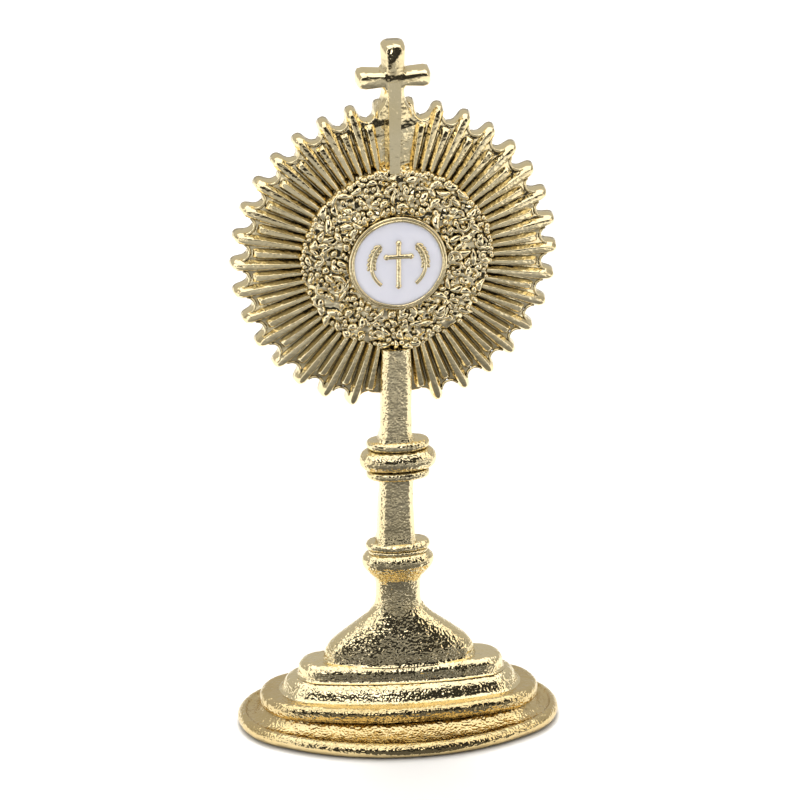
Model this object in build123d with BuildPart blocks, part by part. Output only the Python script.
"""A small gilt monstrance: oval stepped foot, stem with two knops, rayed glory, wreath, enamel and cross.

Millimetres, +Z up, front towards -Y, origin at the middle of the foot's underside. The members of the foot
and stem are stacked on one tie rod. The glory stands in the XZ plane, and its pieces are laid out on planes
parallel to it, at a distance "forward" of the stem's axis.
"""

import os
from math import hypot

from build123d import *

os.makedirs("parts", exist_ok=True)

# Driving dimensions
GLORY_HEIGHT = 55.25  # centre of the glory above the table
TIP_RADIUS = 18.1  # to the points of the glory
VALLEY_RADIUS = 16.3  # between the points
POINTS = 34
WREATH_RADIUS = 10.7
WREATH_LOBES = 24
BEZEL_RADIUS = 5.3
ENAMEL_RADIUS = 4.7
TOP_HEIGHT = 80.4  # overall height
ARM_HEIGHT = 76.15  # centre line of the cross's arms
ARM_SPAN = 8.2

# Distances forward of the stem's axis, on the glory
PLATE_BACK = -2.3
PLATE_FRONT = -0.7
RAY_RISE = 0.65
WREATH_FRONT = 1.3
BEZEL_FRONT = 1.7
ENAMEL_BACK = -0.9
ENAMEL_FRONT = 1.55
EMBLEM_RISE = 0.35
RIB_FRONT = 1.4  # front of the shaft, and of its rib over the rays
TAIL_FRONT = 0.9  # front of the cross's rib over the rays
COVER_BACK = -2.8

# Foot
FLANGE_HALF_WIDTH = 18.0
FLANGE_HALF_DEPTH = 11.3
FLANGE_FULLNESS = 0.7  # end radius of its outline as a part of the half depth
MEMBER_FULLNESS = 0.75  # the same for the members above it
LIP_HEIGHT = 1.65
LIP_UPPER_ROUND = 0.7
LIP_LOWER_ROUND = 0.35
SLOPE_FOOT_INSET = 1.1  # the slope above the lip, inside the flange's outline
SLOPE_TOP_INSETS = (1.9, 3.4)  # of its half width and of its half depth
FLANGE_HEIGHT = 2.3
BASE_PLATE_INSET = 1.6
BASE_PLATE_THICKNESS = 0.6
SCREW_SPACING = 22.0

# Fits and fastenings
ROD_RADIUS = 0.6
ROD_CLEARANCE = 0.12
FIT = 0.08  # clearance all round in loose fits
PIN_RADIUS = 0.3
PIN_HEAD_RADIUS = 0.5
PIN_HEAD_RISE = 0.2
LAP_GAP = 0.15  # between the points of the plate and the shoulders of the laps
ROD_END_GAP = 0.8  # of metal between the tie rod and the lap
ROD_FOOT_GAP = 0.1  # between the tie rod and the base plate

# Stepped members of the foot and turned members of the stem:
# name, lowest z, highest z, half width, half depth, rounding of the upper edge, rounding of the lower edge
STACKED_MEMBERS = [
    ("foot_lower_moulding", 2.3, 4.1, 15.6, 6.9, 0.8, 0.2),
    ("foot_middle_band", 4.1, 5.9, 13.3, 5.2, 0.8, 0.2),
    ("foot_upper_moulding", 5.9, 7.7, 11.5, 3.7, 0.8, 0.2),
    ("lower_bead", 20.35, 20.85, 3.35, 1.95, 0.2, 0.2),
    ("lower_collar", 20.85, 21.8, 3.6, 2.0, 0.4, 0.4),
    ("middle_lower_collar", 29.35, 30.35, 3.54, 1.95, 0.4, 0.45),
    ("middle_ring", 30.35, 32.85, 4.3, 2.35, 1.15, 1.15),
    ("middle_upper_collar", 32.85, 33.95, 3.54, 1.95, 0.45, 0.45),
]

# Lofted members: name and stations of (z, half width, half depth)
LOFTED_MEMBERS = [
    (
        "foot_dome",
        [
            (7.7, 8.5, 3.15),
            (8.9, 8.2, 3.0),
            (9.9, 7.5, 2.75),
            (10.9, 6.3, 2.5),
            (11.9, 4.95, 2.2),
            (12.8, 3.75, 1.95),
            (13.6, 3.1, 1.75),
        ],
    ),
    (
        "neck",
        [(13.6, 3.1, 1.75), (14.6, 2.6, 1.6), (15.8, 2.45, 1.55), (17.0, 2.55, 1.6), (17.6, 2.85, 1.75)],
    ),
    (
        "lower_bulb",
        [(17.6, 2.9, 1.8), (18.3, 3.45, 2.05), (19.2, 3.95, 2.35), (19.9, 3.9, 2.3), (20.35, 3.5, 2.1)],
    ),
]

LOWER_SHAFT_BOTTOM = 21.8
LOWER_SHAFT_TOP = 29.35
UPPER_SHAFT_BOTTOM = 33.95
UPPER_SHAFT_FLARE = 0.95
SHAFT_FOOT = (2.05, 1.5)  # half width and half depth at the foot of either shaft
SHAFT_TOP = (1.8, 1.4)
UPPER_SHAFT = (1.72, RIB_FRONT)
SHAFT_CORNER = 0.62
SHAFT_TIP_GAP = 0.25  # between the ends of the ribs and the wreath


def oval(half_width, half_depth, fullness=MEMBER_FULLNESS):
    """A four-centre oval face; fullness is the end arcs' radius as a part of the half depth."""
    end_radius = fullness * half_depth
    end_centre = half_width - end_radius
    side_radius = (half_depth**2 + end_centre**2 - end_radius**2) / (2 * (half_depth - end_radius))
    side_centre = half_depth - side_radius
    reach = hypot(end_centre, side_centre)
    join_x = end_centre * side_radius / reach
    join_y = side_centre * (1 - side_radius / reach)
    with BuildLine() as outline:
        ThreePointArc((join_x, -join_y), (half_width, 0), (join_x, join_y))
        ThreePointArc((join_x, join_y), (0, half_depth), (-join_x, join_y))
        ThreePointArc((-join_x, join_y), (-half_width, 0), (-join_x, -join_y))
        ThreePointArc((-join_x, -join_y), (0, -half_depth), (join_x, -join_y))
    make_face(outline.edges())


def faceted(half_width, half_depth):
    """A rectangle with its corners cut off, the section of the shafts."""
    outline = [
        (half_width, half_depth - SHAFT_CORNER),
        (half_width - SHAFT_CORNER, half_depth),
        (SHAFT_CORNER - half_width, half_depth),
        (-half_width, half_depth - SHAFT_CORNER),
        (-half_width, SHAFT_CORNER - half_depth),
        (SHAFT_CORNER - half_width, -half_depth),
        (half_width - SHAFT_CORNER, -half_depth),
        (half_width, SHAFT_CORNER - half_depth),
    ]
    Polygon(*outline, align=None)


def rod_bore():
    """The hole for the tie rod, through everything on the stem's axis."""
    with BuildSketch(Plane.XY) as bore:
        Circle(ROD_RADIUS + ROD_CLEARANCE)
    extrude(bore.sketch, amount=ROD_TOP + ROD_CLEARANCE, mode=Mode.SUBTRACT)


def on_glory(forward):
    """A plane of the glory, at a distance forward of the stem's axis, with y up and the origin in the centre."""
    return Plane(origin=(0, -forward, GLORY_HEIGHT), x_dir=(1, 0, 0), z_dir=(0, -1, 0))


def pin_holes():
    """Blind holes for the lap pins, from the back of the plate."""
    with BuildSketch(on_glory(PLATE_BACK)) as holes:
        with Locations(*LAP_PINS):
            Circle(PIN_RADIUS + FIT)
    extrude(holes.sketch, amount=LAP_PIN_END + FIT - PLATE_BACK, mode=Mode.SUBTRACT)


def cover_pin_holes():
    """Holes for the rear cover's pins, through the cover and part of the way into the plate."""
    with BuildSketch(on_glory(COVER_BACK)) as holes:
        with PolarLocations(COVER_PIN_RADIUS, COVER_PINS, start_angle=45):
            Circle(PIN_RADIUS + FIT)
    extrude(holes.sketch, amount=COVER_PIN_END + FIT - COVER_BACK, mode=Mode.SUBTRACT)


def save(piece, name):
    piece.part.label = name
    export_step(piece.part, f"parts/{name}.step")


LAP_RADIUS = TIP_RADIUS + LAP_GAP
ROD_TOP = GLORY_HEIGHT - LAP_RADIUS - ROD_END_GAP
PITCH = 360 / POINTS

# Where the pins stand on the glory: through the shaft's lap, the cross's lap and the rear cover
LAP_PINS = [(0, -15.2), (0, -12.8), (0, 12.8), (0, 15.2)]
COVER_PIN_RADIUS = 5.8
COVER_PINS = 4
LAP_PIN_END = 0.2
COVER_PIN_END = -1.1

# The foot's flange: a rounded lip and a shallow slope up to the first moulding, hollow for the nut and plate
NUT_POCKET_RADIUS = 2.4
NUT_POCKET_TOP = 1.8
SCREW_RADIUS = 0.5
with BuildPart() as foot_flange:
    with BuildSketch(Plane.XY):
        oval(FLANGE_HALF_WIDTH, FLANGE_HALF_DEPTH, FLANGE_FULLNESS)
    extrude(amount=LIP_HEIGHT)
    fillet(foot_flange.edges().group_by(Axis.Z)[-1], LIP_UPPER_ROUND)
    fillet(foot_flange.edges().group_by(Axis.Z)[0], LIP_LOWER_ROUND)
    with BuildSketch(Plane.XY.offset(LIP_HEIGHT)):
        oval(FLANGE_HALF_WIDTH - SLOPE_FOOT_INSET, FLANGE_HALF_DEPTH - SLOPE_FOOT_INSET, FLANGE_FULLNESS)
    with BuildSketch(Plane.XY.offset(FLANGE_HEIGHT)):
        oval(FLANGE_HALF_WIDTH - SLOPE_TOP_INSETS[0], FLANGE_HALF_DEPTH - SLOPE_TOP_INSETS[1], FLANGE_FULLNESS)
    loft(ruled=True)
    with BuildSketch(Plane.XY):
        oval(FLANGE_HALF_WIDTH - BASE_PLATE_INSET, FLANGE_HALF_DEPTH - BASE_PLATE_INSET, FLANGE_FULLNESS)
    extrude(amount=BASE_PLATE_THICKNESS, mode=Mode.SUBTRACT)
    with BuildSketch(Plane.XY):
        Circle(NUT_POCKET_RADIUS)
    extrude(amount=NUT_POCKET_TOP, mode=Mode.SUBTRACT)
    with BuildSketch(Plane.XY):
        with GridLocations(SCREW_SPACING, 1, 2, 1):
            Circle(SCREW_RADIUS + FIT)
    extrude(amount=NUT_POCKET_TOP, mode=Mode.SUBTRACT)
    rod_bore()
save(foot_flange, "foot_flange")

# The plate that closes the underside, flush with the lip, and its two countersunk screws
SCREW_HEAD_RADIUS = 0.95
SCREW_HEAD_HEIGHT = 0.45
SCREW_LENGTH = 1.6
SLOT_WIDTH = 0.25
BASE_PLATE_EDGE = BASE_PLATE_INSET + FIT
with BuildPart() as base_plate:
    with BuildSketch(Plane.XY):
        oval(FLANGE_HALF_WIDTH - BASE_PLATE_EDGE, FLANGE_HALF_DEPTH - BASE_PLATE_EDGE, FLANGE_FULLNESS)
    extrude(amount=BASE_PLATE_THICKNESS)
    with BuildSketch(Plane.XY):
        with GridLocations(SCREW_SPACING, 1, 2, 1):
            Circle(SCREW_HEAD_RADIUS + FIT)
    extrude(amount=SCREW_HEAD_HEIGHT, mode=Mode.SUBTRACT, taper=45)
    with BuildSketch(Plane.XY):
        with GridLocations(SCREW_SPACING, 1, 2, 1):
            Circle(SCREW_RADIUS + FIT)
    extrude(amount=BASE_PLATE_THICKNESS, mode=Mode.SUBTRACT)
save(base_plate, "base_plate")

with BuildPart() as base_screws:
    with BuildSketch(Plane.XY.offset(FIT)):
        with GridLocations(SCREW_SPACING, 1, 2, 1):
            Circle(SCREW_HEAD_RADIUS)
    extrude(amount=SCREW_HEAD_HEIGHT - FIT, taper=45)
    with BuildSketch(Plane.XY.offset(FIT)):
        with GridLocations(SCREW_SPACING, 1, 2, 1):
            Circle(SCREW_RADIUS)
    extrude(amount=SCREW_LENGTH - FIT)
    with BuildSketch(Plane.XY.offset(FIT)):
        with GridLocations(SCREW_SPACING, 1, 2, 1):
            Rectangle(2 * SCREW_HEAD_RADIUS, SLOT_WIDTH)
    extrude(amount=SLOT_WIDTH, mode=Mode.SUBTRACT)
save(base_screws, "base_screws")

# The tie rod with its washer and nut under the flange
WASHER_RADIUS = 1.9
WASHER_THICKNESS = 0.25
NUT_ACROSS_FLATS = 2.6
NUT_HEIGHT = 0.75
ROD_CHAMFER = 0.15
with BuildPart() as tie_rod:
    with BuildSketch(Plane.XY.offset(BASE_PLATE_THICKNESS + ROD_FOOT_GAP)):
        Circle(ROD_RADIUS)
    extrude(amount=ROD_TOP - BASE_PLATE_THICKNESS - ROD_FOOT_GAP)
    chamfer(tie_rod.edges().group_by(Axis.Z)[-1], ROD_CHAMFER)
save(tie_rod, "tie_rod")

with BuildPart() as tie_washer:
    with BuildSketch(Plane.XY.offset(NUT_POCKET_TOP - WASHER_THICKNESS)):
        Circle(WASHER_RADIUS)
        Circle(ROD_RADIUS + FIT, mode=Mode.SUBTRACT)
    extrude(amount=WASHER_THICKNESS)
save(tie_washer, "tie_washer")

with BuildPart() as tie_nut:
    with BuildSketch(Plane.XY.offset(NUT_POCKET_TOP - WASHER_THICKNESS - NUT_HEIGHT)):
        RegularPolygon(NUT_ACROSS_FLATS / 2, 6, major_radius=False)
        Circle(ROD_RADIUS + FIT, mode=Mode.SUBTRACT)
    extrude(amount=NUT_HEIGHT)
save(tie_nut, "tie_nut")

# The stepped members of the foot and the collars, ring and bead of the stem
for name, bottom, top, half_width, half_depth, upper_round, lower_round in STACKED_MEMBERS:
    with BuildPart() as member:
        with BuildSketch(Plane.XY.offset(bottom)):
            oval(half_width, half_depth)
        extrude(amount=top - bottom)
        fillet(member.edges().group_by(Axis.Z)[-1], upper_round)
        fillet(member.edges().group_by(Axis.Z)[0], lower_round)
        rod_bore()
    save(member, name)

# The bell of the foot, the neck and the bulb
for name, stations in LOFTED_MEMBERS:
    with BuildPart() as member:
        for height, half_width, half_depth in stations:
            with BuildSketch(Plane.XY.offset(height)):
                oval(half_width, half_depth)
        loft()
        rod_bore()
    save(member, name)

# The lower shaft tapers a little towards the middle knop
with BuildPart() as lower_shaft:
    with BuildSketch(Plane.XY.offset(LOWER_SHAFT_BOTTOM)):
        faceted(*SHAFT_FOOT)
    with BuildSketch(Plane.XY.offset(LOWER_SHAFT_TOP)):
        faceted(*SHAFT_TOP)
    loft(ruled=True)
    rod_bore()
save(lower_shaft, "lower_shaft")

# The upper shaft flares at its foot, laps over the front of the glory plate and runs up to the wreath as a rib
with BuildPart() as upper_shaft:
    with BuildSketch(Plane.XY.offset(UPPER_SHAFT_BOTTOM)):
        faceted(*SHAFT_FOOT)
    with BuildSketch(Plane.XY.offset(UPPER_SHAFT_BOTTOM + UPPER_SHAFT_FLARE)):
        faceted(*UPPER_SHAFT)
    loft(ruled=True)
    with BuildSketch(Plane.XY.offset(UPPER_SHAFT_BOTTOM + UPPER_SHAFT_FLARE)):
        faceted(*UPPER_SHAFT)
    extrude(amount=GLORY_HEIGHT - WREATH_RADIUS - UPPER_SHAFT_BOTTOM - UPPER_SHAFT_FLARE)
    with BuildSketch(on_glory(PLATE_FRONT)):
        Circle(LAP_RADIUS)
    extrude(amount=PLATE_BACK - PLATE_FRONT, mode=Mode.SUBTRACT)
    with BuildSketch(on_glory(PLATE_FRONT)):
        Circle(WREATH_RADIUS + SHAFT_TIP_GAP)
    extrude(amount=WREATH_FRONT - PLATE_FRONT, mode=Mode.SUBTRACT)
    rod_bore()
    pin_holes()
save(upper_shaft, "upper_shaft")

# The glory's plate: a disc with tapered round-ended points and hollowed edges between them
POINT_ROOT = 15.7
POINT_ROOT_HALF_WIDTH = 0.9
POINT_HALF_WIDTH = 0.62
BARE_POINTS = (16, 17)  # the two at the bottom, where the shaft stands in their place
SCALLOP_RADIUS = 0.74
PLATE_HOLE_RADIUS = ENAMEL_RADIUS + FIT
with BuildPart() as glory_plate:
    with BuildSketch(on_glory(PLATE_BACK)) as outline:
        Circle(VALLEY_RADIUS)
        with BuildSketch(mode=Mode.PRIVATE) as point:
            with Locations((0, POINT_ROOT)):
                Circle(POINT_ROOT_HALF_WIDTH)
            with Locations((0, TIP_RADIUS - POINT_HALF_WIDTH)):
                Circle(POINT_HALF_WIDTH)
            make_hull()
        turns = [(i + 0.5) * PITCH for i in range(POINTS) if i not in BARE_POINTS]
        with Locations(*[Location((0, 0, 0), (0, 0, turn)) for turn in turns]):
            add(point.sketch)
        with PolarLocations(VALLEY_RADIUS + 0.6 * SCALLOP_RADIUS, POINTS, start_angle=90):
            Circle(SCALLOP_RADIUS, mode=Mode.SUBTRACT)
        Circle(PLATE_HOLE_RADIUS, mode=Mode.SUBTRACT)
    extrude(amount=PLATE_FRONT - PLATE_BACK)
    pin_holes()
    cover_pin_holes()
save(glory_plate, "glory_plate")

# The rays: flat-topped ridges with sloping sides, on the plate's front
RAY_START = 11.0
RAY_TIP_GAP = 0.35  # from the end of a long ray to the end of its point
RAY_HALF_WIDTHS = (0.44, 0.66, 0.4)  # at its start, at the root of its point and at its end
SHORT_RAY_START = 11.6
SHORT_RAY_ROOT = 15.4
SHORT_RAY_END = 15.9
SHORT_RAY_HALF_WIDTHS = (0.4, 0.56, 0.36)
RAY_SLOPE = 18


def ray(start, root, end, half_widths):
    """One ray along +Y of the glory, as a sketch: it widens to the root of its point and narrows to its end."""
    start_half_width, root_half_width, end_half_width = half_widths
    Polygon(
        (-start_half_width, start),
        (start_half_width, start),
        (root_half_width, root),
        (end_half_width, end),
        (-end_half_width, end),
        (-root_half_width, root),
        align=None,
    )


with BuildPart() as long_ray:
    with BuildSketch(Plane.XY):
        ray(RAY_START, POINT_ROOT, TIP_RADIUS - RAY_TIP_GAP, RAY_HALF_WIDTHS)
    extrude(amount=RAY_RISE, taper=RAY_SLOPE)
with BuildPart() as short_ray:
    with BuildSketch(Plane.XY):
        ray(SHORT_RAY_START, SHORT_RAY_ROOT, SHORT_RAY_END, SHORT_RAY_HALF_WIDTHS)
    extrude(amount=RAY_RISE, taper=RAY_SLOPE)


def around_glory(solid, turns):
    """Copies of one ray, turned clockwise from the top of the glory by each angle."""
    seat = on_glory(PLATE_FRONT).location
    return [seat * Location((0, 0, 0), (0, 0, -turn)) * solid for turn in turns]


# The points next to the cross and to the shaft carry no ray, and the short rays there are under the ribs
RAYLESS_POINTS = (0, 16, 17, 33)
COVERED_GAPS = (0, 17)
with BuildPart() as long_rays:
    add(around_glory(long_ray.part, [(i + 0.5) * PITCH for i in range(POINTS) if i not in RAYLESS_POINTS]))
save(long_rays, "long_rays")

with BuildPart() as short_rays:
    add(around_glory(short_ray.part, [i * PITCH for i in range(POINTS) if i not in COVERED_GAPS]))
save(short_rays, "short_rays")

# The wreath: a ring in two heights, whose lower, outer step is broken into leaf-sized lobes
LOBE_RADIUS = 1.45
LOBE_OVERLAP = 0.6  # of a lobe's radius that the disc inside the lobes covers
WREATH_STEP = 0.7
WREATH_STEP_INSET = 1.0
with BuildPart() as wreath:
    with BuildSketch(on_glory(PLATE_FRONT)):
        Circle(WREATH_RADIUS - LOBE_OVERLAP * LOBE_RADIUS)
        with PolarLocations(WREATH_RADIUS - LOBE_RADIUS, WREATH_LOBES):
            Circle(LOBE_RADIUS)
        Circle(BEZEL_RADIUS + FIT, mode=Mode.SUBTRACT)
    extrude(amount=WREATH_FRONT - PLATE_FRONT - WREATH_STEP)
    with BuildSketch(on_glory(WREATH_FRONT - WREATH_STEP)):
        Circle(WREATH_RADIUS - WREATH_STEP_INSET)
        Circle(BEZEL_RADIUS + FIT, mode=Mode.SUBTRACT)
    extrude(amount=WREATH_STEP)
save(wreath, "wreath")

# The bezel stands on the plate and holds the enamel's rim
BEZEL_ROUND = 0.2
ENAMEL_ROUND = 0.3
with BuildPart() as bezel:
    with BuildSketch(on_glory(PLATE_FRONT)):
        Circle(BEZEL_RADIUS)
        Circle(ENAMEL_RADIUS + FIT, mode=Mode.SUBTRACT)
    extrude(amount=BEZEL_FRONT - PLATE_FRONT)
    fillet(bezel.edges().group_by(Axis.Y)[0], BEZEL_ROUND)
save(bezel, "bezel")

with BuildPart() as enamel_disc:
    with BuildSketch(on_glory(ENAMEL_BACK)):
        Circle(ENAMEL_RADIUS)
    extrude(amount=ENAMEL_FRONT - ENAMEL_BACK)
    fillet(enamel_disc.edges().group_by(Axis.Y)[0], ENAMEL_ROUND)
save(enamel_disc, "enamel_disc")

# The emblem on the enamel: a plain cross between two bent sprigs
EMBLEM_LINE = 0.42
EMBLEM_HEIGHT = 4.6
EMBLEM_SPAN = 2.4
EMBLEM_ARM_LEVEL = 0.8
SPRIG_RADIUS = 2.6
SPRIG_REACH = 52
with BuildPart() as emblem:
    with BuildSketch(on_glory(ENAMEL_FRONT)):
        Rectangle(EMBLEM_LINE, EMBLEM_HEIGHT)
        with Locations((0, EMBLEM_ARM_LEVEL)):
            Rectangle(EMBLEM_SPAN, EMBLEM_LINE)
        for side in (0, 180):
            with BuildLine():
                CenterArc((0, 0), SPRIG_RADIUS, side - SPRIG_REACH, 2 * SPRIG_REACH)
                CenterArc((0, 0), SPRIG_RADIUS + EMBLEM_LINE, side - SPRIG_REACH, 2 * SPRIG_REACH)
                for end in (-SPRIG_REACH, SPRIG_REACH):
                    outward = Vector(1, 0).rotate(Axis.Z, side + end)
                    Line(outward * SPRIG_RADIUS, outward * (SPRIG_RADIUS + EMBLEM_LINE))
            make_face()
    extrude(amount=EMBLEM_RISE)
save(emblem, "emblem")

# The cross, with flared round-ended arms, and the rib that runs from its foot down to the wreath
CROSS_BACK = -1.5
CROSS_FRONT = 0.7
CROSS_BEVEL = 0.42
BAR_HALF_WIDTH = 1.2
ARM_HALF_WIDTH = 1.0
BAR_FLARE = 0.1  # by which a bar is wider at its end
BAR_CORNER = 0.6  # cut off the corners of a bar's end
FOOT_FLARE_HEIGHT = 1.6  # below the arms, where the foot begins to spread
FOOT_HALF_WIDTH = 1.75
TAIL_HALF_WIDTHS = (0.78, 0.98, 0.78)
TAIL_SLOPE = 6
with BuildPart() as cross_finial:
    arm_level = ARM_HEIGHT - GLORY_HEIGHT
    top_level = TOP_HEIGHT - GLORY_HEIGHT
    with BuildSketch(on_glory(CROSS_BACK)):
        for reach, turn, half_width in (
            (ARM_SPAN / 2, 0, ARM_HALF_WIDTH),
            (ARM_SPAN / 2, 180, ARM_HALF_WIDTH),
            (top_level - arm_level, 90, BAR_HALF_WIDTH),
        ):
            end_half_width = half_width + BAR_FLARE
            with Locations(Location((0, arm_level, 0), (0, 0, turn))):
                Polygon(
                    (0, -half_width),
                    (reach - BAR_CORNER, -end_half_width),
                    (reach, BAR_CORNER - end_half_width),
                    (reach, end_half_width - BAR_CORNER),
                    (reach - BAR_CORNER, end_half_width),
                    (0, half_width),
                    align=None,
                )
        Polygon(
            (-FOOT_HALF_WIDTH, TIP_RADIUS - RAY_TIP_GAP),
            (FOOT_HALF_WIDTH, TIP_RADIUS - RAY_TIP_GAP),
            (BAR_HALF_WIDTH, arm_level - FOOT_FLARE_HEIGHT),
            (BAR_HALF_WIDTH, arm_level),
            (-BAR_HALF_WIDTH, arm_level),
            (-BAR_HALF_WIDTH, arm_level - FOOT_FLARE_HEIGHT),
            align=None,
        )
    extrude(amount=CROSS_FRONT - CROSS_BACK)
    chamfer(cross_finial.edges().group_by(Axis.Y)[0], CROSS_BEVEL)
    with BuildSketch(on_glory(PLATE_FRONT)):
        ray(WREATH_RADIUS, TIP_RADIUS, arm_level - ARM_HALF_WIDTH, TAIL_HALF_WIDTHS)
    extrude(amount=TAIL_FRONT - PLATE_FRONT, taper=TAIL_SLOPE)
    with BuildSketch(on_glory(PLATE_FRONT)):
        Circle(LAP_RADIUS)
    extrude(amount=PLATE_BACK - PLATE_FRONT, mode=Mode.SUBTRACT)
    with BuildSketch(on_glory(PLATE_FRONT)):
        Circle(WREATH_RADIUS + SHAFT_TIP_GAP)
    extrude(amount=WREATH_FRONT - PLATE_FRONT, mode=Mode.SUBTRACT)
    pin_holes()
save(cross_finial, "cross_finial")

# The cover behind the enamel: a disc with a spigot that fills the plate's hole
COVER_RADIUS = 6.6
COVER_ROUND = 0.25
with BuildPart() as rear_cover:
    with BuildSketch(on_glory(COVER_BACK)):
        Circle(COVER_RADIUS)
    extrude(amount=PLATE_BACK - COVER_BACK)
    fillet(rear_cover.edges().group_by(Axis.Y)[-1], COVER_ROUND)
    with BuildSketch(on_glory(PLATE_BACK)):
        Circle(PLATE_HOLE_RADIUS - FIT)
    extrude(amount=ENAMEL_BACK - PLATE_BACK)
    cover_pin_holes()
save(rear_cover, "rear_cover")

# The pins, with low round heads at the back
with BuildPart() as rear_pins:
    with BuildSketch(on_glory(PLATE_BACK)):
        with Locations(*LAP_PINS):
            Circle(PIN_RADIUS)
    extrude(amount=LAP_PIN_END - PLATE_BACK)
    with BuildSketch(on_glory(PLATE_BACK)):
        with Locations(*LAP_PINS):
            Circle(PIN_HEAD_RADIUS)
    extrude(amount=-PIN_HEAD_RISE)
    with BuildSketch(on_glory(COVER_BACK)):
        with PolarLocations(COVER_PIN_RADIUS, COVER_PINS, start_angle=45):
            Circle(PIN_RADIUS)
    extrude(amount=COVER_PIN_END - COVER_BACK)
    with BuildSketch(on_glory(COVER_BACK)):
        with PolarLocations(COVER_PIN_RADIUS, COVER_PINS, start_angle=45):
            Circle(PIN_HEAD_RADIUS)
    extrude(amount=-PIN_HEAD_RISE)
save(rear_pins, "rear_pins")
